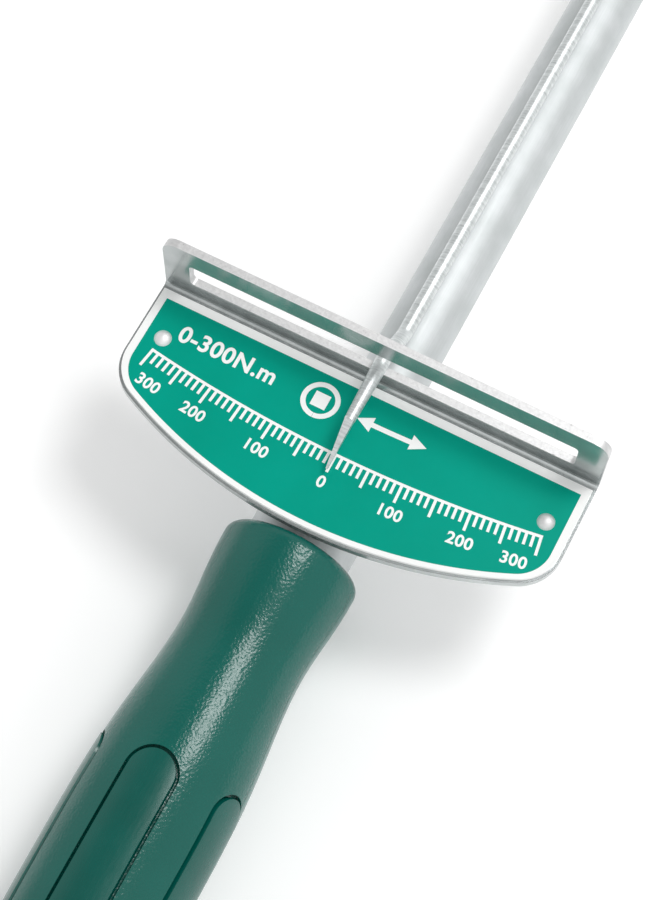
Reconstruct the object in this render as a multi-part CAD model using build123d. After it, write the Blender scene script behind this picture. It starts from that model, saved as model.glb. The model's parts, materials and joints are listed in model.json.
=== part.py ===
from build123d import *
import math
import os

# Beam torque wrench, millimetres. The origin is on the axis of the square drive, at the shoulder that
# the socket seats against. +X runs along the beam to the handle, +Z is up, out of the dial.

# ---- driving sizes ---------------------------------------------------------------------------
BEAM_DIAMETER = 15.0
BEAM_AXIS_Z = 16.0
DRIVE_SQUARE = 12.7
DRIVE_LENGTH = 15.0
BEND_X = 44.0                 # where the bending beam seems to turn, seen from the dial
FULL_SCALE_ANGLE = 8.6        # degrees of arm for the largest torque
SCALE_RADIUS = 300.0          # from the bend axis to the inner ends of the ticks
DIAL_ABOVE_BEAM = 15.7        # top of the dial sheet over the beam's axis
HANDLE_LENGTH = 119.0

BEAM_R = BEAM_DIAMETER / 2
BEAM_TOP_Z = BEAM_AXIS_Z + BEAM_R
BEND_TAN = math.tan(math.radians(FULL_SCALE_ANGLE))
BEND_COS = math.cos(math.radians(FULL_SCALE_ANGLE))
SLIDE_GAP = 0.05              # radial clearance of a piece that slides or is slipped on

# ---- head --------------------------------------------------------------------------------------
HEAD_R = 19.0
HEAD_HEIGHT = BEAM_TOP_Z + 4.5
HEAD_ROUNDING = 2.5
NECK_START_X = HEAD_R * 0.45
NECK_START_R = BEAM_R + 4.3
NECK_END_X = 30.0
NECK_END_R = BEAM_R + 3.3
NECK_LIP = 1.2
SHANK_R = 9.0
SHANK_TOP_Z = HEAD_HEIGHT - 4.0
SHANK_CHAMFER = 0.8
BEAM_START_X = SHANK_R + 2.0
BEAM_BORE_GAP = 0.4           # between the beam's end and the bottom of its bore
BEAM_PIN_R = 2.5
BEAM_PIN_X = 20.5
BEAM_PIN_SUNK = 0.3           # below the neck's surface
PIN_WALL = 1.0
PIN_SLIT = 0.9
SHANK_PIN_R = 2.0
SHANK_PIN_Z = 20.0
SHANK_PIN_DEPTH = 4.0
SHANK_PIN_SUNK = 0.4

# ---- square drive and its ball -------------------------------------------------------------------
DRIVE_CORNER = 1.4
DRIVE_CHAMFER = 1.0
BALL_R = 2.5
BALL_PROUD = 1.2
BALL_Z = -DRIVE_LENGTH * 0.55
BALL_X = -DRIVE_SQUARE / 2 - BALL_PROUD + BALL_R
BALL_HOLE_END_X = 4.0
SPRING_WIRE_R = 0.3
SPRING_R = 1.8
SPRING_TURNS = 5

# ---- pointer -------------------------------------------------------------------------------------
POINTER_R = 1.6
POINTER_AXIS_Z = BEAM_AXIS_Z + DIAL_ABOVE_BEAM
POINTER_START_X = -7.0
POST_LENGTH = 20.0
POST_WIDTH = 13.0
POST_ROUNDING = 5.4           # of its upright edges
POST_TOP_ROUNDING = 1.5
POST_ROOT = 4.0               # of the post is inside the head
POST_TOP_Z = POINTER_AXIS_Z + 7.5
CRANK_START_GAP = 12.0        # the rod starts to rise this far before the flange
CRANK_END_GAP = 2.0
CRANK_RADIUS = 3.5
RISEN_ABOVE_DIAL = 6.5        # the rod where it comes through the slot
CREST_GAP = 13.6              # from the flange to where the rod ends and the blade starts
CREST_ABOVE_DIAL = 6.2
TIP_ABOVE_DIAL = 1.7
TIP_PAST_SCALE = 4.4
TAPER_LENGTH = 13.0
CREST_R = 1.15
BLADE_WIDTH = 2.0
BLADE_THICKNESS = 1.7
TIP_WIDTH = 0.4
TIP_THICKNESS = 0.6
SET_SCREW_R = 2.0
SET_SCREW_SUNK = 0.6
SET_SCREW_HEX = 2.0
SET_SCREW_HEX_DEPTH = 2.0

# ---- bracket and dial ----------------------------------------------------------------------------
SHEET = 1.8                   # thickness of the bracket
DIAL_SHEET = 0.8
DIAL_Z = BEAM_AXIS_Z + DIAL_ABOVE_BEAM
PLATE_TOP_Z = DIAL_Z - DIAL_SHEET
PLATE_BOTTOM_Z = PLATE_TOP_Z - SHEET
FLANGE_X = BEND_X + SCALE_RADIUS - 19.0
FLANGE_HEIGHT = 16.9          # above the dial
FLANGE_CORNER = 3.5
BEND_RADIUS = 1.2             # inside the bent corner
OUTER_BEND_RADIUS = BEND_RADIUS + SHEET * 0.9
PLATE_HALF_WIDTH = 50.5
PLATE_END_X = FLANGE_X + 36.7
PLATE_END_RADIUS = 106.0
PLATE_CORNER = 10.0
SLOT_LOW = 3.8                # above the dial
SLOT_HIGH = 11.2
SLOT_CORNER = 1.0
SLOT_END_GAP = 0.3            # left between pointer and slot at full scale
SLOT_HALF = (FLANGE_X - BEND_X) * BEND_TAN + POINTER_R / BEND_COS + SLOT_END_GAP
DIAL_MARGIN = 0.6
DIAL_TOP_MARGIN = 1.7
RIVET_X = FLANGE_X + 12.4
RIVET_Y = 44.35
RIVET_HEAD_R = 1.9
RIVET_HEAD_HEIGHT = 1.1
RIVET_SHANK_R = 1.2
RIVET_TAIL = 0.9

# ---- arm: tube, saddle, bushes ---------------------------------------------------------------------
TUBE_R = 11.5
TUBE_WALL = 2.0
TUBE_CHAMFER = 0.5
TUBE_START_X = FLANGE_X + 4.0
HANDLE_START_X = PLATE_END_X + 0.8
HANDLE_END_X = HANDLE_START_X + HANDLE_LENGTH
TUBE_END_X = HANDLE_END_X - 3.0
BUSH_LENGTH = 18.0
BUSH_FLANGE = 1.5
BUSH_FLANGE_R = TUBE_R - 1.0
REAR_BUSH_X = HANDLE_START_X + 9.0
BEAM_END_X = REAR_BUSH_X + BUSH_LENGTH + 3.0
TUBE_PIN_R = 2.0
TUBE_PIN_X = TUBE_START_X + 11.0
TUBE_PIN_SUNK = 0.3
BEAM_CHAMFER = 0.8
SADDLE_START_X = FLANGE_X + 7.0
SADDLE_LENGTH = 22.0
SADDLE_HALF_WIDTH = 15.0
SADDLE_ROUNDING = 2.5
SADDLE_LOW = 4.0              # lowest edge over the beam's axis
SCREW_Y = 11.5
SCREW_R = 2.0
SCREW_HEAD_R = 3.8
SCREW_DEPTH = 7.0
SCREW_HEX = 2.5
SCREW_HEX_DEPTH = 1.4

# ---- handle ----------------------------------------------------------------------------------------
# (distance from the handle's front, radius) along the outside of the grip
GRIP_CURVE = [(2.4, 15.3), (22.0, 13.9), (47.0, 15.8), (78.0, 16.4), (108.0, 15.2)]
GRIP_FRONT_R = 13.0
GRIP_REAR_R = 12.8
NOSE_MIDDLE = (0.7, 0.65)      # behind the front; inside the first radius of the curve
REAR_SLOPE = -0.08
PAD_START = 52.3              # from the handle's front
PAD_LENGTH = 50.0
PAD_WIDTH = 9.8
PAD_COUNT = 5
FIRST_PAD_ANGLE = 3.6         # degrees from the top, towards -Y
PAD_GROOVE = 0.8
PAD_DEPTH = 1.4
PAD_PROUD = 0.25
CAP_R = GRIP_REAR_R
CAP_THICKNESS = 4.0
CAP_ROUNDING = 2.8
CAP_PLUG_LENGTH = 12.0


def rod_x(radius, start, end, y=0.0, z=BEAM_AXIS_Z):
    """A round rod along X."""
    return Pos((start + end) / 2, y, z) * Rot(0, 90, 0) * Cylinder(radius, end - start)


def rod_y(radius, length, x, z):
    """A round rod along Y, centred on the wrench's middle plane."""
    return Pos(x, 0, z) * Rot(90, 0, 0) * Cylinder(radius, length)


def rod_z(radius, bottom, top, x=0.0, y=0.0):
    """A round rod along Z."""
    return Pos(x, y, (bottom + top) / 2) * Cylinder(radius, top - bottom)


def slit_pin(radius, length):
    """A spring pin along Z, centred: rolled sheet with a slit, its ends chamfered."""
    pin = chamfer(Cylinder(radius, length).edges(), PIN_WALL * 0.4)
    pin -= Cylinder(radius - PIN_WALL, length)
    return pin - Pos(radius, 0, 0) * Box(2 * radius, PIN_SLIT, length)


def hex_prism(across_flats, bottom, top):
    """A hexagonal prism along Z."""
    outline = RegularPolygon(across_flats / math.sqrt(3), 6)
    return Pos(0, 0, bottom) * extrude(outline, top - bottom)


# ---- head pieces -----------------------------------------------------------------------------------
def drive_head():
    body = rod_z(HEAD_R, 0, HEAD_HEIGHT)
    body = fillet(body.edges().filter_by(GeomType.CIRCLE), HEAD_ROUNDING)
    neck = Pos((NECK_START_X + NECK_END_X) / 2, 0, BEAM_AXIS_Z) * Rot(0, 90, 0) * Cone(
        NECK_START_R, NECK_END_R, NECK_END_X - NECK_START_X)
    neck = chamfer(neck.edges().sort_by(Axis.X)[-1], NECK_LIP)
    post_low_z = HEAD_HEIGHT - POST_ROOT
    post = Pos(0, 0, (post_low_z + POST_TOP_Z) / 2) * Box(POST_LENGTH, POST_WIDTH, POST_TOP_Z - post_low_z)
    post = fillet(post.edges().filter_by(Axis.Z), POST_ROUNDING)
    post = fillet(post.faces().sort_by(Axis.Z)[-1].edges(), POST_TOP_ROUNDING)
    head = body + neck + post
    head -= rod_z(SHANK_R, 0, SHANK_TOP_Z)
    head -= rod_x(BEAM_R + SLIDE_GAP, BEAM_START_X - BEAM_BORE_GAP, NECK_END_X)
    head -= rod_z(BEAM_PIN_R, 0, HEAD_HEIGHT, BEAM_PIN_X)
    head -= rod_x(SHANK_PIN_R, -HEAD_R, 0, z=SHANK_PIN_Z)
    head -= rod_x(POINTER_R, -POST_LENGTH, POST_LENGTH, z=POINTER_AXIS_Z)
    head -= rod_z(SET_SCREW_R, POINTER_AXIS_Z, POST_TOP_Z)
    return head


def square_drive():
    outline = fillet(Rectangle(DRIVE_SQUARE, DRIVE_SQUARE).vertices(), DRIVE_CORNER)
    square = Pos(0, 0, -DRIVE_LENGTH) * extrude(outline, DRIVE_LENGTH)
    square = chamfer(square.faces().sort_by(Axis.Z)[0].edges(), DRIVE_CHAMFER)
    shank = chamfer(rod_z(SHANK_R, 0, SHANK_TOP_Z).edges().sort_by(Axis.Z)[-1], SHANK_CHAMFER)
    drive = square + shank
    drive -= rod_x(BALL_R + SLIDE_GAP, BALL_X, BALL_HOLE_END_X, z=BALL_Z)
    drive -= Pos(BALL_X, 0, BALL_Z) * Sphere(BALL_R + SLIDE_GAP)
    return drive - rod_x(SHANK_PIN_R, -SHANK_R, -SHANK_R + SHANK_PIN_DEPTH, z=SHANK_PIN_Z)


def detent_ball():
    return Pos(BALL_X, 0, BALL_Z) * Sphere(BALL_R)


def detent_spring():
    start = BALL_X + BALL_R * 0.75 + SPRING_WIRE_R
    length = BALL_HOLE_END_X - SPRING_WIRE_R - start
    path = Helix(length / SPRING_TURNS, length, SPRING_R)
    wire = sweep(Plane(path @ 0, z_dir=path % 0) * Circle(SPRING_WIRE_R), path)
    return Pos(start, 0, BALL_Z) * Rot(0, 90, 0) * wire


def shank_pin():
    return rod_x(SHANK_PIN_R, -HEAD_R + SHANK_PIN_SUNK, -SHANK_R + SHANK_PIN_DEPTH, z=SHANK_PIN_Z)


def beam_pin():
    return Pos(BEAM_PIN_X, 0, BEAM_AXIS_Z) * slit_pin(BEAM_PIN_R, 2 * pin_reach())


def pin_reach():
    """Half length of the beam's pin: it ends just inside the neck's cone."""
    cone_fall = (NECK_START_R - NECK_END_R) / (NECK_END_X - NECK_START_X)
    return NECK_START_R - cone_fall * (BEAM_PIN_X + BEAM_PIN_R - NECK_START_X) - BEAM_PIN_SUNK


def pointer():
    """A rod that cranks up to the slot, thins beyond it and ends in a flat blade bent to the ticks."""
    low = Vector(FLANGE_X - CRANK_START_GAP, 0, POINTER_AXIS_Z)
    high = Vector(FLANGE_X - CRANK_END_GAP, 0, DIAL_Z + RISEN_ABOVE_DIAL)
    crest = Vector(FLANGE_X + CREST_GAP, 0, DIAL_Z + CREST_ABOVE_DIAL)
    tip = Vector(BEND_X + SCALE_RADIUS + TIP_PAST_SCALE, 0, DIAL_Z + TIP_ABOVE_DIAL)
    onward = (crest - high).normalized()
    taper_start = crest - onward * TAPER_LENGTH
    run = FilletPolyline((POINTER_START_X, low.Z), (low.X, low.Z), (high.X, high.Z),
                         (taper_start.X, taper_start.Z), radius=CRANK_RADIUS)
    path = Plane.XZ * run
    rod = sweep(Plane(path @ 0, z_dir=path % 0) * Circle(POINTER_R), path)
    neck = Plane(taper_start, x_dir=(0, 1, 0), z_dir=onward)
    taper = loft([neck * Circle(POINTER_R), neck.offset(TAPER_LENGTH) * Circle(CREST_R)])
    fall = (tip - crest).normalized()
    root = Plane(crest - fall * CREST_R * 0.6, x_dir=(0, 1, 0), z_dir=fall)
    point = Plane(tip, x_dir=(0, 1, 0), z_dir=fall)
    blade = loft([root * Rectangle(BLADE_WIDTH, BLADE_THICKNESS),
                  point * Rectangle(TIP_WIDTH, TIP_THICKNESS)])
    return rod + taper + blade


def pointer_screw():
    top_z = POST_TOP_Z - SET_SCREW_SUNK
    screw = rod_z(SET_SCREW_R, POINTER_AXIS_Z + POINTER_R, top_z)
    return screw - hex_prism(SET_SCREW_HEX, top_z - SET_SCREW_HEX_DEPTH, top_z)


# ---- bracket, dial and their fasteners ---------------------------------------------------------------
def plate_outline(margin, start_x):
    """The dial's outline seen from above: straight sides, rounded corners and one long arc."""
    half = PLATE_HALF_WIDTH - margin
    radius = PLATE_END_RADIUS - margin
    centre_x = PLATE_END_X - PLATE_END_RADIUS
    side_x = centre_x + math.sqrt(radius ** 2 - half ** 2)
    sides = Polyline((side_x, half), (start_x, half), (start_x, -half), (side_x, -half))
    end = ThreePointArc((side_x, -half), (centre_x + radius, 0), (side_x, half))
    face = make_face([*sides.edges(), end])
    far = face.vertices().sort_by(Axis.X)[-2:]
    return fillet(far, PLATE_CORNER - margin)


def scale_bracket():
    back_x = FLANGE_X - SHEET
    plate = Pos(0, 0, PLATE_BOTTOM_Z) * extrude(plate_outline(0, back_x), SHEET)
    flange_top_z = DIAL_Z + FLANGE_HEIGHT
    flange = Pos(FLANGE_X - SHEET / 2, 0, (PLATE_BOTTOM_Z + flange_top_z) / 2) * Box(
        SHEET, 2 * PLATE_HALF_WIDTH, flange_top_z - PLATE_BOTTOM_Z)
    flange = fillet(flange.edges().filter_by(Axis.X).sort_by(Axis.Z)[-2:], FLANGE_CORNER)
    bracket = plate + flange
    inner = [e for e in bracket.edges().filter_by(Axis.Y)
             if abs(e.center().X - FLANGE_X) < 0.01 and abs(e.center().Z - PLATE_TOP_Z) < 0.01]
    bracket = fillet(inner, BEND_RADIUS)
    outer = [e for e in bracket.edges().filter_by(Axis.Y)
             if abs(e.center().X - back_x) < 0.01 and abs(e.center().Z - PLATE_BOTTOM_Z) < 0.01]
    bracket = fillet(outer, OUTER_BEND_RADIUS)
    bracket -= pointer_slot()
    for y in (-RIVET_Y, RIVET_Y):
        bracket -= rod_z(RIVET_SHANK_R, PLATE_BOTTOM_Z, PLATE_TOP_Z, RIVET_X, y)
    for x, y in screw_places():
        bracket -= screw_solid(x, y)
    return bracket


def pointer_slot():
    """The slot in the flange that the pointer sweeps along."""
    outline = fillet(Rectangle(2 * SLOT_HALF, SLOT_HIGH - SLOT_LOW).vertices(), SLOT_CORNER)
    middle_z = DIAL_Z + (SLOT_LOW + SLOT_HIGH) / 2
    across = Plane(Vector(FLANGE_X - 2 * SHEET, 0, middle_z), x_dir=(0, 1, 0), z_dir=(1, 0, 0))
    return extrude(across * outline, 3 * SHEET)


def dial_sheet():
    outline = plate_outline(DIAL_MARGIN, FLANGE_X + DIAL_TOP_MARGIN)
    sheet = Pos(0, 0, PLATE_TOP_Z) * extrude(outline, DIAL_SHEET)
    for y in (-RIVET_Y, RIVET_Y):
        sheet -= rod_z(RIVET_SHANK_R, PLATE_TOP_Z, DIAL_Z, RIVET_X, y)
    return sheet


def dial_rivet(y):
    shank = rod_z(RIVET_SHANK_R, PLATE_BOTTOM_Z, DIAL_Z, RIVET_X, y)
    ball_r = (RIVET_HEAD_R ** 2 + RIVET_HEAD_HEIGHT ** 2) / (2 * RIVET_HEAD_HEIGHT)
    dome = Pos(RIVET_X, y, DIAL_Z + RIVET_HEAD_HEIGHT - ball_r) * Sphere(ball_r)
    dome &= rod_z(RIVET_HEAD_R * 1.2, DIAL_Z, DIAL_Z + RIVET_HEAD_HEIGHT, RIVET_X, y)
    tail = rod_z(RIVET_HEAD_R * 0.8, PLATE_BOTTOM_Z - RIVET_TAIL, PLATE_BOTTOM_Z, RIVET_X, y)
    tail = fillet(tail.edges().sort_by(Axis.Z)[0], RIVET_TAIL * 0.5)
    return shank + dome + tail


def screw_places():
    x = SADDLE_START_X + SADDLE_LENGTH / 2
    return [(x, -SCREW_Y), (x, SCREW_Y)]


def screw_solid(x, y):
    """A countersunk screw, flush with the top of the bracket."""
    head = Pos(x, y, PLATE_TOP_Z - SHEET / 2) * Cone(SCREW_R, SCREW_HEAD_R, SHEET)
    return head + rod_z(SCREW_R, PLATE_TOP_Z - SCREW_DEPTH, PLATE_BOTTOM_Z, x, y)


def bracket_screws():
    screws = []
    for x, y in screw_places():
        hexagon = Pos(x, y, 0) * hex_prism(SCREW_HEX, PLATE_TOP_Z - SCREW_HEX_DEPTH, PLATE_TOP_Z)
        screws.append(screw_solid(x, y) - hexagon)
    return Compound(children=screws)


def bracket_saddle():
    low_z = BEAM_AXIS_Z + SADDLE_LOW
    middle_x = SADDLE_START_X + SADDLE_LENGTH / 2
    block = Pos(middle_x, 0, (low_z + PLATE_BOTTOM_Z) / 2) * Box(
        SADDLE_LENGTH, 2 * SADDLE_HALF_WIDTH, PLATE_BOTTOM_Z - low_z)
    block = fillet(block.edges().filter_by(Axis.Z), SADDLE_ROUNDING)
    block -= rod_x(TUBE_R, SADDLE_START_X - 1, SADDLE_START_X + SADDLE_LENGTH + 1)
    for x, y in screw_places():
        block -= rod_z(SCREW_R, PLATE_TOP_Z - SCREW_DEPTH, PLATE_BOTTOM_Z, x, y)
    return block


# ---- arm -----------------------------------------------------------------------------------------------
def beam():
    bar = rod_x(BEAM_R, BEAM_START_X, BEAM_END_X)
    bar = chamfer(bar.edges().filter_by(GeomType.CIRCLE), BEAM_CHAMFER)
    bar -= rod_z(BEAM_PIN_R + SLIDE_GAP, BEAM_AXIS_Z - BEAM_R, BEAM_TOP_Z, BEAM_PIN_X)
    return bar - rod_y(TUBE_PIN_R, BEAM_DIAMETER, TUBE_PIN_X, BEAM_AXIS_Z)


def grip_tube():
    tube = chamfer(rod_x(TUBE_R, TUBE_START_X, TUBE_END_X).edges().filter_by(GeomType.CIRCLE), TUBE_CHAMFER)
    tube -= rod_x(TUBE_R - TUBE_WALL, TUBE_START_X, TUBE_END_X)
    return tube - rod_y(TUBE_PIN_R, 2 * TUBE_R, TUBE_PIN_X, BEAM_AXIS_Z)


def front_bush():
    bush = rod_x(TUBE_R - TUBE_WALL, TUBE_START_X, TUBE_START_X + BUSH_LENGTH)
    rim = rod_x(BUSH_FLANGE_R, TUBE_START_X - BUSH_FLANGE, TUBE_START_X)
    rim = chamfer(rim.edges().sort_by(Axis.X)[0], TUBE_CHAMFER)
    bush = bush + rim - rod_x(BEAM_R, TUBE_START_X - BUSH_FLANGE, TUBE_START_X + BUSH_LENGTH)
    return bush - rod_y(TUBE_PIN_R, 2 * TUBE_R, TUBE_PIN_X, BEAM_AXIS_Z)


def rear_bush():
    bush = rod_x(TUBE_R - TUBE_WALL, REAR_BUSH_X, REAR_BUSH_X + BUSH_LENGTH)
    return bush - rod_x(BEAM_R, REAR_BUSH_X, REAR_BUSH_X + BUSH_LENGTH)


def tube_pin():
    length = 2 * (TUBE_R - TUBE_PIN_SUNK)
    return Pos(TUBE_PIN_X, 0, BEAM_AXIS_Z) * Rot(90, 0, 0) * slit_pin(TUBE_PIN_R, length)


def grip_solid(offset):
    """The grip's outer shape, solid right through, grown or shrunk by an offset along the radius."""
    base_z = BEAM_AXIS_Z + offset
    curve = [(HANDLE_START_X + x, base_z + r) for x, r in GRIP_CURVE]
    front = (HANDLE_START_X, base_z + GRIP_FRONT_R)
    rear = (HANDLE_END_X, base_z + GRIP_REAR_R)
    nose_middle = (front[0] + NOSE_MIDDLE[0], curve[0][1] - NOSE_MIDDLE[1])
    nose = ThreePointArc(front, nose_middle, curve[0])
    side = Spline(curve, tangents=[(1, 0), (1, REAR_SLOPE)])
    tail = Spline([curve[-1], rear], tangents=[(1, REAR_SLOPE), (0.3, -1)])
    base = Polyline(rear, (rear[0], BEAM_AXIS_Z), (front[0], BEAM_AXIS_Z), front)
    outline = make_face([nose, side, tail, *base.edges()])
    return revolve(Plane.XZ * outline, Axis((0, 0, BEAM_AXIS_Z), (1, 0, 0)))


def pad_prism(angle, growth):
    """The stadium that outlines a pad, pushed out from the axis at an angle around the handle."""
    outline = SlotOverall(PAD_LENGTH + 2 * growth, PAD_WIDTH + 2 * growth)
    middle_x = HANDLE_START_X + PAD_START + PAD_LENGTH / 2
    prism = Pos(middle_x, 0, 0) * extrude(outline, 2 * HEAD_R)
    return Pos(0, 0, BEAM_AXIS_Z) * Rot(angle, 0, 0) * prism


def pad_angles():
    return [FIRST_PAD_ANGLE + k * 360 / PAD_COUNT for k in range(PAD_COUNT)]


def handle_grip():
    grip = grip_solid(0)
    cavity = grip - grip_solid(-PAD_DEPTH)
    for angle in pad_angles():
        grip -= pad_prism(angle, PAD_GROOVE) & cavity
    return grip - rod_x(TUBE_R, HANDLE_START_X - 1, HANDLE_END_X + 1)


def grip_pad(angle):
    layer = grip_solid(PAD_PROUD) - grip_solid(-PAD_DEPTH)
    return pad_prism(angle, 0) & layer


def end_cap():
    disc = rod_x(CAP_R, HANDLE_END_X, HANDLE_END_X + CAP_THICKNESS)
    disc = fillet(disc.edges().sort_by(Axis.X)[-1], CAP_ROUNDING)
    neck = rod_x(TUBE_R, TUBE_END_X, HANDLE_END_X)
    plug = rod_x(TUBE_R - TUBE_WALL, HANDLE_END_X - CAP_PLUG_LENGTH, TUBE_END_X)
    return disc + neck + plug


# ---- writing the pieces -----------------------------------------------------------------------------------
def pieces():
    made = {
        "drive_head": drive_head(),
        "square_drive": square_drive(),
        "detent_ball": detent_ball(),
        "detent_spring": detent_spring(),
        "shank_pin": shank_pin(),
        "beam_pin": beam_pin(),
        "pointer": pointer(),
        "pointer_screw": pointer_screw(),
        "beam": beam(),
        "front_bush": front_bush(),
        "rear_bush": rear_bush(),
        "grip_tube": grip_tube(),
        "tube_pin": tube_pin(),
        "bracket_saddle": bracket_saddle(),
        "bracket_screws": bracket_screws(),
        "scale_bracket": scale_bracket(),
        "dial_sheet": dial_sheet(),
        "dial_rivet_left": dial_rivet(-RIVET_Y),
        "dial_rivet_right": dial_rivet(RIVET_Y),
        "handle_grip": handle_grip(),
        "end_cap": end_cap(),
    }
    for number, angle in enumerate(pad_angles(), start=1):
        made[f"grip_pad_{number}"] = grip_pad(angle)
    return made


os.makedirs("parts", exist_ok=True)
for name, shape in pieces().items():
    export_step(shape, f"parts/{name}.step")
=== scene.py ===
import json
import math
import bmesh
import bpy
from mathutils import Matrix, Vector


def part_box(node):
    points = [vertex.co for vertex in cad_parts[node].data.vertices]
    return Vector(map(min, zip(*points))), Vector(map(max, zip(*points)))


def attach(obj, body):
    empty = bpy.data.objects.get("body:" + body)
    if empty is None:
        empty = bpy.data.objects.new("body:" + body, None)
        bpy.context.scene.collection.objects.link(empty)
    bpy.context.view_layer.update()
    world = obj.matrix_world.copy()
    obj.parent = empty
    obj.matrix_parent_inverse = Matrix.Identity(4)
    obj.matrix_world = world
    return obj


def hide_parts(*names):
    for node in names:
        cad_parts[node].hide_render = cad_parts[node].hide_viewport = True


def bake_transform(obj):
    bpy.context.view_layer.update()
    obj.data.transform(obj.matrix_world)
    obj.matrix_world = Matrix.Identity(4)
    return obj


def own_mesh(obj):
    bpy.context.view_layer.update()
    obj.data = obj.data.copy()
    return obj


# The looks of a beam torque wrench. Metres, in the wrench's frame: +X from the square drive to the
# handle, +Z out of the dial, +Y to the right-hand end of the scale.

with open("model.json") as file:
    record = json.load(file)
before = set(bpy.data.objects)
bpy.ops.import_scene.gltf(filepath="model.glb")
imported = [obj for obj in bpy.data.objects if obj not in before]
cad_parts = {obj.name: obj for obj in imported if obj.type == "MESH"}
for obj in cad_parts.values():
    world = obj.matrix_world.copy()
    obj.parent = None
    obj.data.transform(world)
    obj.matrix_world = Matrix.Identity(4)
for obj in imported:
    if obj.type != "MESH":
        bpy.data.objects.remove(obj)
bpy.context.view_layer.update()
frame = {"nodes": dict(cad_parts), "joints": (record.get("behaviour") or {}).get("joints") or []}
nodes = frame["nodes"]
joints = {joint["name"]: joint for joint in frame["joints"]}

# ---- places taken from the frame -----------------------------------------------------------------
BEND = Vector(joints["beam_bend"]["pos_m"])
FULL_ANGLE = math.radians(joints["beam_bend"]["range_deg"][1])
SHEET_LOW, SHEET_HIGH = (Vector(corner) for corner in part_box("dial_sheet"))
BRACKET_LOW = Vector(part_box("scale_bracket")[0])
BEAM_LOW, BEAM_HIGH = (Vector(corner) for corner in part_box("beam"))
GRIP_LOW, GRIP_HIGH = (Vector(corner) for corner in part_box("handle_grip"))
POINTER_TIP_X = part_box("pointer")[1][0]
DIAL_Z = SHEET_HIGH.z
BEAM_R = (BEAM_HIGH.y - BEAM_LOW.y) / 2

# ---- bar and spring ------------------------------------------------------------------------------
BAR_RINGS = 240
BAR_SIDES = 64
BAR_EASE = 0.0008                                # bevel at the bar's ends
SPRING_WIRE_R = 0.00029
SPRING_TURNS = 5
SPRING_STEPS = 24                                # straight bits in a turn of the coil

# ---- dial print ----------------------------------------------------------------------------------
TIP_PAST_SCALE = 0.0044                          # the pointer reaches this far over the ticks
SCALE_RADIUS = POINTER_TIP_X - TIP_PAST_SCALE - BEND.x
FULL_SCALE = 300                                 # newton metres
TICK_STEP = 10
LONG_TICK_STEP = 50
NUMBER_STEP = 100
LINE_WIDTH = 0.00062
SHORT_TICK = 0.0028
LONG_TICK = 0.0043
NUMBER_RADIUS = SCALE_RADIUS + 0.0068
NUMBER_SIZE = 0.0036
END_NUMBER_SHIFT = math.radians(0.73)            # the outermost numbers stand in from their ticks
MARKS_X = BRACKET_LOW.x + 0.0115                 # middle of the row of marks over the scale
RANGE_Y = -0.0304
RANGE_SIZE = 0.0053
EMBLEM_Y = -0.0085
EMBLEM_R = 0.0042
EMBLEM_LINE = 0.0011
EMBLEM_SQUARE = 0.0034
ARROW_START = 0.0                                # ends of the turning arrow, across the wrench
ARROW_END = 0.0158
ARROW_WIDTH = 0.0011
ARROW_HEAD = 0.0035
BORDER_SIDE = 0.0017                             # white edge left round the green field
BORDER_END = 0.0011
BORDER_TOP = 0.002
SHEET_END_RADIUS = 0.1054                        # of the sheet's long curved edge
FIELD_CORNER = 0.008
LETTER_SPACING = 1.06
LETTER_BOLD = 0.025                              # strokes grow by this share of the letter's size
INK = 0.00002                                    # thickness of a printed layer

# ---- finishes ------------------------------------------------------------------------------------
GREEN = (0.0, 0.335, 0.245)
GREEN_WORN = (0.0, 0.305, 0.218)
WHITE = (0.94, 0.95, 0.94)
WHITE_WORN = (0.88, 0.89, 0.88)
GRIP_GREEN = (0.0, 0.11, 0.087)
GRIP_GREEN_DEEP = (0.0, 0.096, 0.075)
PAD_GREEN = (0.0, 0.096, 0.076)
PAD_GREEN_DEEP = (0.0, 0.082, 0.064)
PLASTIC_GLOSS = 0.44
GRAIN_DEPTH = 0.00012                            # of the grip's moulded grain
PARTING_SLOPE = 0.2                              # the grip's parting line is turned a little round it
PARTING_HALF = 0.00028                           # half the width of the parting line
PARTING_DEPTH = 2.2                              # as a multiple of GRAIN_DEPTH
FLANGE_Z = DIAL_Z + 0.003                        # of the bracket, only the flange is above this

# ---- floor, lights and camera --------------------------------------------------------------------
FLOOR_SIZE = 6
FLOOR_GAP = 0.0004                               # left under the wrench
FLOOR_GLOW = 0.14
DRIVE_FOOT_X = 0.006                             # the edge of the drive's end nearest the floor
FATTEST_GRIP = 0.078                             # from the grip's front to where it is thickest
KEY_WAY = Vector((-0.36, 0.29, 0.88))            # from the dial towards the light
KEY_SIZE = 0.4
KEY_POWER = 6.2
FILL_WAY = Vector((0.52, 0.32, 0.79))
FILL_SIZE = 1.6
FILL_POWER = 3.6
LIGHT_DISTANCE = 1.2
EYE_AZIMUTH = math.radians(25.14)
EYE_ELEVATION = math.radians(66.38)
EYE_ROLL = math.radians(2.47)
EYE_DISTANCE = 0.42022
EYE_TARGET_SHIFT = Vector((-0.0004, -0.0016, 0))  # added to the place of the scale's zero
EYE_LENS = 82


# ---- material tools ------------------------------------------------------------------------------
def grey(value):
    return (value, value, value)


def set_stops(color_ramp, stops):
    """Fills a colour ramp from (position, colour) pairs."""
    while len(color_ramp.elements) < len(stops):
        color_ramp.elements.new(0.5)
    for element, (position, colour) in zip(color_ramp.elements, stops):
        element.position = position
        element.color = (*colour, 1)


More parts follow.
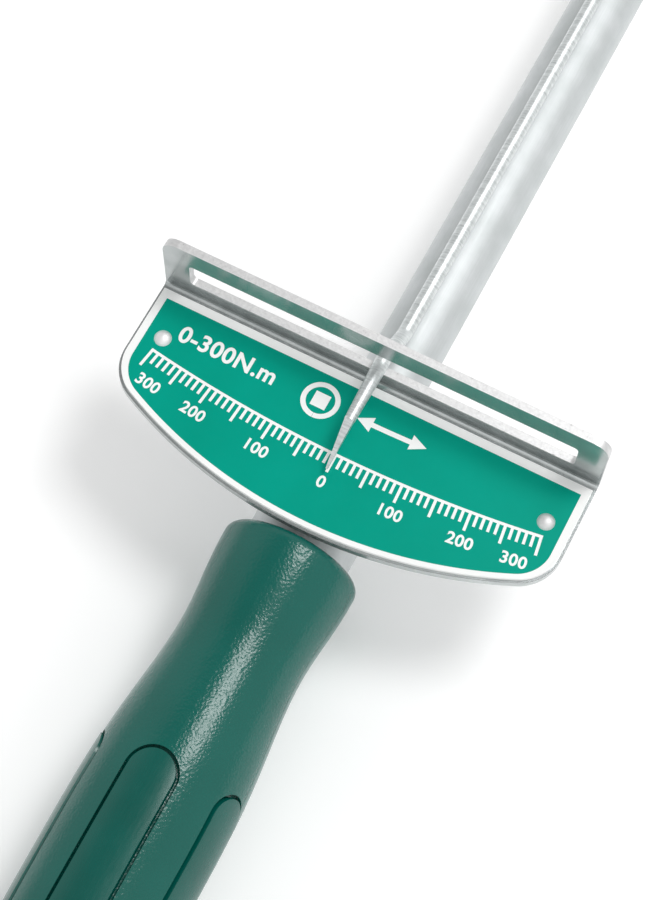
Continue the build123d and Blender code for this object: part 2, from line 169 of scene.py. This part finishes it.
class Finish:
    """A material with a Principled shader and a few shorthand node makers."""

    def __init__(self, name):
        self.material = bpy.data.materials.new(name)
        self.material.use_nodes = True
        self.nodes = self.material.node_tree.nodes
        self.links = self.material.node_tree.links
        self.shader = self.nodes["Principled BSDF"]
        self.place = self.nodes.new("ShaderNodeTexCoord").outputs["Object"]

    def set(self, **values):
        for key, value in values.items():
            self.shader.inputs[key.replace("_", " ")].default_value = value

    def stretched(self, scale):
        mapping = self.nodes.new("ShaderNodeMapping")
        mapping.inputs["Scale"].default_value = scale
        self.links.new(self.place, mapping.inputs["Vector"])
        return mapping.outputs["Vector"]

    def noise(self, scale, detail, roughness=0.5, vector=None):
        node = self.nodes.new("ShaderNodeTexNoise")
        node.inputs["Scale"].default_value = scale
        node.inputs["Detail"].default_value = detail
        node.inputs["Roughness"].default_value = roughness
        self.links.new(vector or self.place, node.inputs["Vector"])
        return node.outputs["Fac"]

    def cells(self, scale):
        node = self.nodes.new("ShaderNodeTexVoronoi")
        node.feature = "SMOOTH_F1"
        node.inputs["Scale"].default_value = scale
        self.links.new(self.place, node.inputs["Vector"])
        return node.outputs["Distance"]

    def ramp(self, source, stops):
        node = self.nodes.new("ShaderNodeValToRGB")
        set_stops(node.color_ramp, stops)
        self.links.new(source, node.inputs["Fac"])
        return node.outputs["Color"]

    def span(self, source, low, high, start=0.0, end=1.0):
        node = self.nodes.new("ShaderNodeMapRange")
        node.inputs["From Min"].default_value = start
        node.inputs["From Max"].default_value = end
        node.inputs["To Min"].default_value = low
        node.inputs["To Max"].default_value = high
        self.links.new(source, node.inputs["Value"])
        return node.outputs["Result"]

    def math(self, operation, *values):
        node = self.nodes.new("ShaderNodeMath")
        node.operation = operation
        for socket, value in zip(node.inputs, values):
            if isinstance(value, float):
                socket.default_value = value
            else:
                self.links.new(value, socket)
        return node.outputs["Value"]

    def blend(self, factor, first, second):
        node = self.nodes.new("ShaderNodeMix")
        node.data_type = "RGBA"
        self.links.new(factor, node.inputs["Factor"])
        self.links.new(first, node.inputs["A"])
        self.links.new(second, node.inputs["B"])
        return node.outputs["Result"]

    def colour(self, source):
        self.links.new(source, self.shader.inputs["Base Color"])

    def rough(self, source):
        self.links.new(source, self.shader.inputs["Roughness"])

    def bump(self, height, depth, strength):
        node = self.nodes.new("ShaderNodeBump")
        node.inputs["Strength"].default_value = strength
        node.inputs["Distance"].default_value = depth
        self.links.new(height, node.inputs["Height"])
        self.links.new(node.outputs["Normal"], self.shader.inputs["Normal"])


# ---- materials -----------------------------------------------------------------------------------
def satin_chrome(name, tone, rough):
    """Plated steel, finely brushed along the wrench."""
    finish = Finish(name)
    finish.set(Metallic=1.0)
    brushed = finish.noise(1.0, 5, 0.65, finish.stretched((90, 3500, 3500)))
    cloudy = finish.noise(140, 4)
    mixed = finish.math("MULTIPLY", brushed, cloudy)
    light = (tone * 1.01, tone * 1.04, tone * 1.05)
    dark = (tone * 0.88, tone * 0.92, tone * 0.92)
    finish.colour(finish.ramp(mixed, [(0.15, dark), (0.38, light)]))
    finish.rough(finish.span(brushed, rough - 0.05, rough + 0.07, 0.3, 0.7))
    finish.bump(brushed, 0.00003, 0.35)
    return finish.material


def turned_rod():
    """The pointer: plated rod with fine turning marks round it."""
    finish = Finish("turned_rod")
    finish.set(Metallic=1.0)
    rings = finish.noise(1.0, 5, 0.7, finish.stretched((2600, 260, 260)))
    speck = finish.noise(1900, 3, 0.6)
    finish.colour(finish.ramp(rings, [(0.36, (0.56, 0.59, 0.59)), (0.6, (0.78, 0.81, 0.81))]))
    finish.rough(finish.span(speck, 0.42, 0.56, 0.3, 0.7))
    finish.bump(rings, 0.00005, 0.45)
    return finish.material


def plain_steel(name, tone, rough):
    """Turned or ground steel with small scratches and stains."""
    finish = Finish(name)
    finish.set(Metallic=1.0)
    scratch = finish.noise(1.0, 5, 0.65, finish.stretched((900, 900, 2600)))
    stain = finish.noise(120, 4)
    finish.colour(finish.ramp(stain, [(0.3, grey(tone * 0.8)), (0.7, grey(tone))]))
    finish.rough(finish.span(scratch, rough - 0.08, rough + 0.1, 0.3, 0.7))
    finish.bump(scratch, 0.00002, 0.3)
    return finish.material


def zinc_sheet():
    """The bracket's plated sheet: smooth grey faces, and grainy cut edges with dark chips, painted pale
    partly as a painted highlight.
    """
    finish = Finish("zinc_sheet")
    rolled = finish.noise(1.0, 4, 0.6, finish.stretched((5000, 500, 5000)))
    grain = finish.noise(4200, 4, 0.7)
    face = finish.ramp(finish.noise(300, 4), [(0.3, (0.44, 0.47, 0.47)), (0.7, (0.55, 0.58, 0.58))])
    chips = finish.noise(1300, 5, 0.75)
    # the cut edges' pale greys are partly painted highlight where the cut top catches the light; the
    # grain and dark chips are the edge's own
    edge = finish.ramp(chips, [(0.29, grey(0.2)), (0.35, grey(0.62)), (0.7, grey(0.8))])
    cut = cut_edge(finish)
    finish.colour(finish.blend(cut, face, edge))
    finish.set(Metallic=0.8)
    finish.rough(finish.math("MULTIPLY_ADD", cut, 0.28, finish.span(grain, 0.16, 0.26, 0.3, 0.7)))
    finish.bump(finish.math("MULTIPLY", rolled, grain), 0.00002, 0.3)
    return finish.material


def cut_edge(finish):
    """One on the flange's cut top, ends and slot, nothing on the rolled faces."""
    texture = finish.nodes.new("ShaderNodeTexCoord")
    facing = finish.nodes.new("ShaderNodeSeparateXYZ")
    finish.links.new(texture.outputs["Normal"], facing.inputs["Vector"])
    height = finish.nodes.new("ShaderNodeSeparateXYZ")
    finish.links.new(finish.place, height.inputs["Vector"])
    sideways = finish.math("ABSOLUTE", facing.outputs["X"])
    off_face = finish.math("LESS_THAN", sideways, 0.6)
    on_flange = finish.math("GREATER_THAN", height.outputs["Z"], FLANGE_Z)
    return finish.math("MULTIPLY", off_face, on_flange)


def black_oxide():
    """Blackened steel screws."""
    finish = Finish("black_oxide")
    finish.set(Metallic=0.7)
    stain = finish.noise(700, 4)
    finish.colour(finish.ramp(stain, [(0.3, grey(0.012)), (0.75, grey(0.04))]))
    finish.rough(finish.span(stain, 0.35, 0.55))
    return finish.material


def paint(name, colour, worn):
    """A printed or stoved layer: nearly even colour, faint orange peel, a soft gloss."""
    finish = Finish(name)
    peel = finish.noise(1500, 2)
    cloud = finish.noise(60, 3)
    finish.colour(finish.ramp(cloud, [(0.25, worn), (0.7, colour)]))
    finish.set(Specular_IOR_Level=0.06)
    finish.rough(finish.span(peel, 0.3, 0.42, 0.3, 0.7))
    finish.bump(peel, 0.00001, 0.2)
    return finish.material


def grained_plastic():
    """The grip's moulded surface: fine leathery grain, and a thin parting line along both sides."""
    finish = Finish("grained_plastic")
    wobble = finish.noise(1100, 3, 0.6)
    grain = finish.cells(1900)
    height = finish.math("ADD", finish.math("MULTIPLY", wobble, 0.9), grain)
    split = finish.nodes.new("ShaderNodeSeparateXYZ")
    finish.links.new(finish.place, split.inputs["Vector"])
    axis_z = (GRIP_LOW.z + GRIP_HIGH.z) / 2
    tilted = finish.math("MULTIPLY", split.outputs["Y"], PARTING_SLOPE)
    above = finish.math("SUBTRACT", finish.math("SUBTRACT", split.outputs["Z"], axis_z), tilted)
    line = finish.span(finish.math("ABSOLUTE", above), -PARTING_DEPTH, 0.0, 0.0, PARTING_HALF)
    height = finish.math("ADD", height, line)
    cloud = finish.noise(50, 3)
    finish.colour(finish.ramp(cloud, [(0.3, GRIP_GREEN_DEEP), (0.7, GRIP_GREEN)]))
    finish.set(Specular_IOR_Level=PLASTIC_GLOSS)
    finish.rough(finish.span(wobble, 0.18, 0.25, 0.3, 0.7))
    finish.bump(height, GRAIN_DEPTH, 0.45)
    return finish.material


def smooth_plastic():
    """The pads and the end cap: nearly the grip's green, smooth."""
    finish = Finish("smooth_plastic")
    cloud = finish.noise(80, 3)
    scuff = finish.noise(1.0, 5, 0.6, finish.stretched((400, 2200, 2200)))
    finish.colour(finish.ramp(cloud, [(0.3, PAD_GREEN_DEEP), (0.7, PAD_GREEN)]))
    finish.set(Specular_IOR_Level=PLASTIC_GLOSS)
    finish.rough(finish.span(scuff, 0.2, 0.3, 0.3, 0.7))
    finish.bump(scuff, 0.00002, 0.15)
    return finish.material


def spring_wire():
    """Drawn wire, darker than the turned steel."""
    finish = Finish("spring_wire")
    finish.set(Metallic=1.0)
    drawn = finish.noise(3000, 3)
    finish.colour(finish.ramp(drawn, [(0.3, grey(0.3)), (0.7, grey(0.45))]))
    finish.rough(finish.span(drawn, 0.25, 0.4))
    return finish.material


def dress(finish, *names):
    """Gives CAD nodes a material."""
    for name in names:
        for slot in nodes[name].material_slots:
            slot.material = finish


bar_chrome = satin_chrome("bar_chrome", 0.69, 0.62)
head_chrome = satin_chrome("head_chrome", 0.74, 0.3)
bare_steel = plain_steel("bare_steel", 0.45, 0.4)
rivet_metal = plain_steel("rivet_metal", 0.9, 0.6)
ball_steel = plain_steel("ball_steel", 0.75, 0.15)
white_print = paint("white_print", WHITE, WHITE_WORN)
green_print = paint("green_print", GREEN, GREEN_WORN)
pad_plastic = smooth_plastic()
drawn_wire = spring_wire()

dress(bar_chrome, "beam", "grip_tube")
dress(head_chrome, "drive_head")
dress(turned_rod(), "pointer")
dress(bare_steel, "square_drive", "shank_pin", "beam_pin", "tube_pin")
dress(bare_steel, "front_bush", "rear_bush", "bracket_saddle")
dress(black_oxide(), "pointer_screw", "bracket_screws")
dress(zinc_sheet(), "scale_bracket")
dress(white_print, "dial_sheet")
dress(rivet_metal, "dial_rivet_left", "dial_rivet_right")
dress(ball_steel, "detent_ball")
dress(drawn_wire, "detent_spring")
dress(grained_plastic(), "handle_grip")
dress(pad_plastic, "end_cap", *(name for name in nodes if name.startswith("grip_pad")))


# ---- mesh tools ----------------------------------------------------------------------------------
def add_piece(name, mesh, body, finish):
    """Adds a mesh to the scene as a piece that rides on a body."""
    piece = bpy.data.objects.new(name, mesh)
    bpy.context.scene.collection.objects.link(piece)
    mesh.materials.clear()
    mesh.materials.append(finish)
    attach(piece, body)
    return piece


def prism(mesh_builder, outline, low, high):
    """A flat shape with upright sides, from its outline's (x, y) points."""
    top = [mesh_builder.verts.new((x, y, high)) for x, y in outline]
    bottom = [mesh_builder.verts.new((x, y, low)) for x, y in outline]
    mesh_builder.faces.new(top)
    mesh_builder.faces.new(reversed(bottom))
    for first in range(len(outline)):
        second = (first + 1) % len(outline)
        mesh_builder.faces.new((top[first], bottom[first], bottom[second], top[second]))


def mesh_of(name, outlines, low, high):
    """One mesh with a prism for each outline."""
    builder = bmesh.new()
    for outline in outlines:
        prism(builder, outline, low, high)
    bmesh.ops.recalc_face_normals(builder, faces=builder.faces)
    mesh = bpy.data.meshes.new(name)
    builder.to_mesh(mesh)
    builder.free()
    return mesh


def arc_points(centre, radius, start, end, steps):
    """Points along an arc in the dial's plane; angles in radians from +X."""
    turns = [start + (end - start) * step / steps for step in range(steps + 1)]
    return [(centre[0] + radius * math.cos(a), centre[1] + radius * math.sin(a)) for a in turns]


# ---- the dial's print ----------------------------------------------------------------------------
def field_outline():
    """The green field: straight top and sides, rounded lower corners and one long arc."""
    half = SHEET_HIGH.y - BORDER_SIDE
    top_x = SHEET_LOW.x + BORDER_TOP
    long_radius = SHEET_END_RADIUS - BORDER_END
    middle_x = SHEET_HIGH.x - SHEET_END_RADIUS
    corner_y = half - FIELD_CORNER
    to_corner = long_radius - FIELD_CORNER
    corner_x = middle_x + math.sqrt(to_corner ** 2 - corner_y ** 2)
    turn = math.asin(corner_y / to_corner)
    right = arc_points((corner_x, corner_y), FIELD_CORNER, turn, math.pi / 2, 16)
    left = arc_points((corner_x, -corner_y), FIELD_CORNER, -math.pi / 2, -turn, 16)
    far = arc_points((middle_x, 0), long_radius, -turn, turn, 80)
    return [(top_x, -half), *left, *far[1:-1], *right, (top_x, half)]


def tick_outline(angle, length):
    """A tick: a thin bar standing outwards on the scale's line."""
    along = Vector((math.cos(angle), math.sin(angle)))
    side = Vector((-along.y, along.x)) * LINE_WIDTH / 2
    base = BEND.xy + along * (SCALE_RADIUS + LINE_WIDTH / 2)
    tip = BEND.xy + along * (SCALE_RADIUS + length)
    return [tuple(base - side), tuple(tip - side), tuple(tip + side), tuple(base + side)]


def scale_outlines():
    """The scale's long arc and all its ticks."""
    inner = SCALE_RADIUS - LINE_WIDTH / 2
    outer = SCALE_RADIUS + LINE_WIDTH / 2
    edge = LINE_WIDTH / 2 / SCALE_RADIUS
    outlines = [arc_points(BEND.xy, inner, -FULL_ANGLE - edge, FULL_ANGLE + edge, 90)
                + arc_points(BEND.xy, outer, FULL_ANGLE + edge, -FULL_ANGLE - edge, 90)]
    for torque in range(-FULL_SCALE, FULL_SCALE + 1, TICK_STEP):
        length = LONG_TICK if torque % LONG_TICK_STEP == 0 else SHORT_TICK
        outlines.append(tick_outline(FULL_ANGLE * torque / FULL_SCALE, length))
    return outlines


def lettering(name, words, size, place, turn, low):
    """Printed characters as a thin solid, centred on a place in the dial's plane."""
    curve = bpy.data.curves.new(name, "FONT")
    curve.body = words
    curve.size = size
    curve.space_character = LETTER_SPACING
    curve.align_x = "CENTER"
    curve.align_y = "CENTER"
    curve.offset = size * LETTER_BOLD
    curve.extrude = INK / 2
    source = bpy.data.objects.new(name, curve)
    bpy.context.scene.collection.objects.link(source)
    bpy.context.view_layer.update()
    mesh = bpy.data.meshes.new_from_object(source)
    bpy.data.objects.remove(source)
    upright = Matrix.Rotation(math.pi / 2 + turn, 4, "Z")
    mesh.transform(Matrix.Translation((*place, low + INK / 2)) @ upright)
    return mesh


def emblem_outlines():
    """A plain sign for a square drive: a square in a ring."""
    centre = (MARKS_X, EMBLEM_Y)
    inner = EMBLEM_R - EMBLEM_LINE
    gap = math.radians(0.5)                        # keeps the ring's outline in one piece
    ring = arc_points(centre, EMBLEM_R, gap, 2 * math.pi - gap, 48)
    ring += arc_points(centre, inner, 2 * math.pi - gap, gap, 48)
    square = arc_points(centre, EMBLEM_SQUARE / math.sqrt(2), math.pi / 4, math.pi * 7 / 4, 3)
    return [ring, square]


def arrow_outlines():
    """A curved arrow with a head at both ends: the wrench reads either way."""
    radius = MARKS_X - BEND.x
    start = ARROW_START / radius
    end = ARROW_END / radius
    head = ARROW_HEAD / radius
    low = radius - ARROW_WIDTH / 2
    high = radius + ARROW_WIDTH / 2
    bar = arc_points(BEND.xy, low, start + head, end - head, 20)
    bar += arc_points(BEND.xy, high, end - head, start + head, 20)
    outlines = [bar]
    for point, back in ((start, start + head), (end, end - head)):
        tip = arc_points(BEND.xy, radius, point, point, 1)[0]
        half = ARROW_HEAD / 2
        sides = [arc_points(BEND.xy, radius + step, back, back, 1)[0] for step in (-half, half)]
        outlines.append([tip, *sides])
    return outlines


def dial_print():
    """The green field and, on top of it, the scale, its numbers, the range and the two signs."""
    field_top = DIAL_Z + INK
    field = mesh_of("green_field", [field_outline()], DIAL_Z, field_top)
    add_piece("green_field", field, "arm", green_print)
    scale = mesh_of("scale_ticks", scale_outlines(), field_top, field_top + INK)
    add_piece("scale_ticks", scale, "arm", white_print)
    for torque in range(-FULL_SCALE, FULL_SCALE + 1, NUMBER_STEP):
        angle = FULL_ANGLE * torque / FULL_SCALE
        if abs(torque) == FULL_SCALE:
            angle -= math.copysign(END_NUMBER_SHIFT, torque)
        place = arc_points(BEND.xy, NUMBER_RADIUS, angle, angle, 1)[0]
        side = "left" if torque < 0 else "right"
        name = f"number_{abs(torque)}_{side}"
        mesh = lettering(name, str(abs(torque)), NUMBER_SIZE, place, angle, field_top)
        add_piece(name, mesh, "arm", white_print)
    words = lettering("torque_range", "0-300N.m", RANGE_SIZE, (MARKS_X, RANGE_Y), 0, field_top)
    add_piece("torque_range", words, "arm", white_print)
    marks = mesh_of("drive_marks", emblem_outlines() + arrow_outlines(), field_top, field_top + INK)
    add_piece("drive_marks", marks, "arm", white_print)


dial_print()


# ---- bar and ball's spring, built as meshes of their own -----------------------------------------
def bar():
    """The bar with eased ends, in many short rings."""
    axis_z = (BEAM_LOW.z + BEAM_HIGH.z) / 2
    start = BEAM_LOW.x + BAR_EASE
    length = BEAM_HIGH.x - BAR_EASE - start
    stations = [(BEAM_LOW.x, BEAM_R - BAR_EASE)]
    stations += [(start + length * step / BAR_RINGS, BEAM_R) for step in range(BAR_RINGS + 1)]
    stations.append((BEAM_HIGH.x, BEAM_R - BAR_EASE))
    turns = [2 * math.pi * side / BAR_SIDES for side in range(BAR_SIDES)]
    builder = bmesh.new()
    rings = []
    for x, radius in stations:
        ring = [(x, radius * math.cos(turn), axis_z + radius * math.sin(turn)) for turn in turns]
        rings.append([builder.verts.new(place) for place in ring])
    for near, far in zip(rings, rings[1:]):
        for side in range(BAR_SIDES):
            after = (side + 1) % BAR_SIDES
            builder.faces.new((near[side], near[after], far[after], far[side])).smooth = True
    builder.faces.new(rings[0])
    builder.faces.new(rings[-1])
    bmesh.ops.recalc_face_normals(builder, faces=builder.faces)
    mesh = bpy.data.meshes.new("bending_bar")
    builder.to_mesh(mesh)
    builder.free()
    piece = bpy.data.objects.new("bending_bar", mesh)
    bpy.context.scene.collection.objects.link(piece)
    mesh.materials.append(bar_chrome)
    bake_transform(piece)
    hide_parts("beam")


bar()


def ball_spring():
    """The coil behind the ball."""
    low, high = (Vector(corner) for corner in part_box("detent_spring"))
    wire_r = SPRING_WIRE_R
    coil_r = (high.z - low.z) / 2 - wire_r
    length = high.x - low.x - 2 * wire_r
    steps = SPRING_TURNS * SPRING_STEPS
    path = []
    for step in range(steps + 1):
        angle = 2 * math.pi * step / SPRING_STEPS
        along = low.x + wire_r + length * step / steps
        path.append((along, coil_r * math.cos(angle), (low.z + high.z) / 2 + coil_r * math.sin(angle)))
    curve = bpy.data.curves.new("ball_spring", "CURVE")
    curve.dimensions = "3D"
    curve.bevel_depth = wire_r
    curve.bevel_resolution = 2
    curve.use_fill_caps = True
    line = curve.splines.new("POLY")
    line.points.add(len(path) - 1)
    for point, place in zip(line.points, path):
        point.co = (*place, 1)
    source = bpy.data.objects.new("ball_spring", curve)
    bpy.context.scene.collection.objects.link(source)
    bpy.context.view_layer.update()
    mesh = bpy.data.meshes.new_from_object(source)
    bpy.data.objects.remove(source)
    for face in mesh.polygons:
        face.use_smooth = True
    piece = add_piece("ball_spring", mesh, "head", drawn_wire)
    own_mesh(piece)
    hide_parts("detent_spring")


ball_spring()


# ---- floor, light and camera ---------------------------------------------------------------------
def floor():
    """A pale floor just under the drive's end and the fattest part of the grip."""
    drive_low = Vector(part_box("square_drive")[0])
    touch = Vector((GRIP_LOW.x + FATTEST_GRIP, 0, GRIP_LOW.z))
    slope = math.atan2(touch.z - drive_low.z, touch.x - DRIVE_FOOT_X)
    bpy.ops.mesh.primitive_plane_add(size=FLOOR_SIZE)
    plane = bpy.context.object
    plane.name = "floor"
    plane.rotation_euler = (0, -slope, 0)
    plane.location = (DRIVE_FOOT_X, 0, drive_low.z - FLOOR_GAP)
    finish = Finish("floor_white")
    finish.colour(finish.ramp(finish.noise(3, 2), [(0.3, grey(0.93)), (0.7, grey(0.95))]))
    finish.set(Roughness=0.7, Emission_Strength=FLOOR_GLOW)
    finish.set(Emission_Color=(1, 1, 1, 1))
    plane.data.materials.append(finish.material)


# the room's brightness by height: 0 straight down, 0.5 at the horizon, 1 straight up
ROOM_SHADES = [
    (0.0, grey(0.75)),
    (0.5, (0.6, 0.64, 0.64)),
    (0.62, grey(0.78)),
    (0.84, grey(0.75)),
    (0.94, grey(0.3)),
]


def area_light(name, place, target, size, power):
    """A square soft light that faces a target."""
    light = bpy.data.lights.new(name, "AREA")
    light.shape = "SQUARE"
    light.size = size
    light.energy = power
    lamp = bpy.data.objects.new(name, light)
    bpy.context.scene.collection.objects.link(lamp)
    lamp.location = place
    lamp.rotation_euler = (target - place).to_track_quat("-Z", "Y").to_euler()


def studio():
    """A soft key light on the head's side, a wide fill on the handle's side, a room darker overhead."""
    middle = Vector((SHEET_LOW.x, 0, SHEET_LOW.z))
    area_light("key", middle + KEY_WAY * LIGHT_DISTANCE, middle, KEY_SIZE, KEY_POWER)
    area_light("fill", middle + FILL_WAY * LIGHT_DISTANCE, middle, FILL_SIZE, FILL_POWER)
    world = bpy.data.worlds.new("studio")
    bpy.context.scene.world = world
    world.use_nodes = True
    tree = world.node_tree
    background = tree.nodes["Background"]
    place = tree.nodes.new("ShaderNodeTexCoord")
    split = tree.nodes.new("ShaderNodeSeparateXYZ")
    ramp = tree.nodes.new("ShaderNodeValToRGB")
    set_stops(ramp.color_ramp, ROOM_SHADES)
    half = tree.nodes.new("ShaderNodeMapRange")
    half.inputs["From Min"].default_value = -1
    tree.links.new(place.outputs["Generated"], split.inputs["Vector"])
    tree.links.new(split.outputs["Z"], half.inputs["Value"])
    tree.links.new(half.outputs["Result"], ramp.inputs["Fac"])
    tree.links.new(ramp.outputs["Color"], background.inputs["Color"])
    background.inputs["Strength"].default_value = 1.0
    bpy.context.scene.view_settings.view_transform = "Standard"


def camera():
    """Looks down at the zero of the scale from the handle's side, a little to the right."""
    target = Vector((BEND.x + SCALE_RADIUS, 0, DIAL_Z)) + EYE_TARGET_SHIFT
    level = math.cos(EYE_ELEVATION)
    across = level * math.sin(EYE_AZIMUTH)
    outward = Vector((level * math.cos(EYE_AZIMUTH), across, math.sin(EYE_ELEVATION)))
    data = bpy.data.cameras.new("camera")
    data.lens = EYE_LENS
    data.sensor_width = 36
    eye = bpy.data.objects.new("camera", data)
    bpy.context.scene.collection.objects.link(eye)
    turn = (-outward).to_track_quat("-Z", "Y").to_matrix().to_4x4()
    place = Matrix.Translation(target + outward * EYE_DISTANCE)
    eye.matrix_world = place @ turn @ Matrix.Rotation(EYE_ROLL, 4, "Z")
    bpy.context.scene.camera = eye


floor()
studio()
camera()
